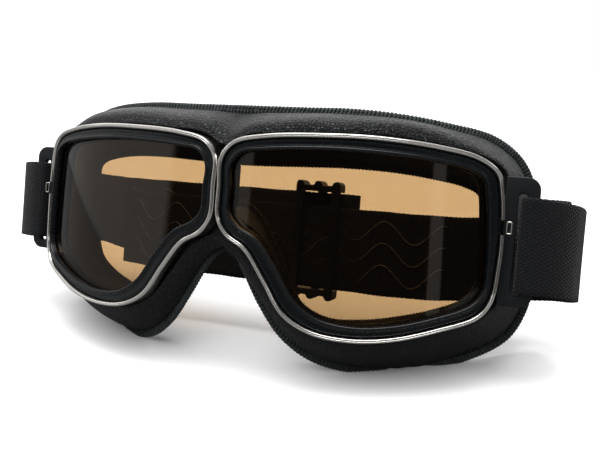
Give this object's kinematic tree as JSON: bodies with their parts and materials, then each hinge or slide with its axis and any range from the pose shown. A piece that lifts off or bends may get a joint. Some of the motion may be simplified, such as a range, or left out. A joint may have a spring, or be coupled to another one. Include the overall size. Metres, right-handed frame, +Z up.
{
  "type": "motorcycle goggles",
  "caption": "Wrap-round riding goggles with tinted curved lenses in chrome-trimmed frames, a stitched leather face pad and an adjustable elastic strap.",
  "frame": {"origin": "on the surface the goggles stand on, under the middle of the whole object", "axes": "+X to the wearer's left, +Y towards the wearer's face, +Z up"},
  "size_m": [0.2211, 0.072, 0.086],
  "materials": {
    "leather": "fine-grain synthetic leather, satin",
    "lining": "smooth synthetic leather, dull",
    "foam": "open-cell foam",
    "thread": "twisted polyester thread",
    "bezel": "satin black moulding",
    "trim": "polished",
    "lens": "smoked amber tint, polished",
    "seal": "black rubber",
    "bracket": "fine matt moulding",
    "webbing": "ribbed woven elastic",
    "slider": "moulded, satin"
  },
  "bodies": {
    "goggles": {"leather_cover": "leather", "face_lining": "lining", "foam_core": "foam", "edge_thread_outer": "thread", "edge_thread_inner": "thread", "nose_bridge": "bezel", "bezel_left": "bezel", "trim_band_left": "trim", "lens_left": "lens", "lens_seal_left": "seal", "rear_ring_left": "bezel", "strap_bracket_left": "bracket", "strap_left": "webbing", "strap_tack_left": "thread", "bezel_right": "bezel", "trim_band_right": "trim", "lens_right": "lens", "lens_seal_right": "seal", "rear_ring_right": "bezel", "strap_bracket_right": "bracket", "strap_right": "webbing", "strap_tack_right": "thread"},
    "clip_left": {"clip_left": "trim"},
    "clip_right": {"clip_right": "trim"},
    "slider": {"slider": "slider"}
  },
  "joints": [
    {"name": "clip_left_swing", "type": "hinge", "parent": "goggles", "child": "clip_left", "pos_m": [0.0877, -0.00415, 0.05145], "axis": [0, -0.2181, -0.9759], "range_deg": [0, 100]},
    {"name": "clip_right_swing", "type": "hinge", "parent": "goggles", "child": "clip_right", "pos_m": [-0.0877, -0.00415, 0.05145], "axis": [0, 0.2181, 0.9759], "range_deg": [0, 100]},
    {"name": "slider_slide", "type": "slide", "parent": "goggles", "child": "slider", "axis": [1, 0, 0], "range_m": [-0.026, 0.0045]}
  ]
}
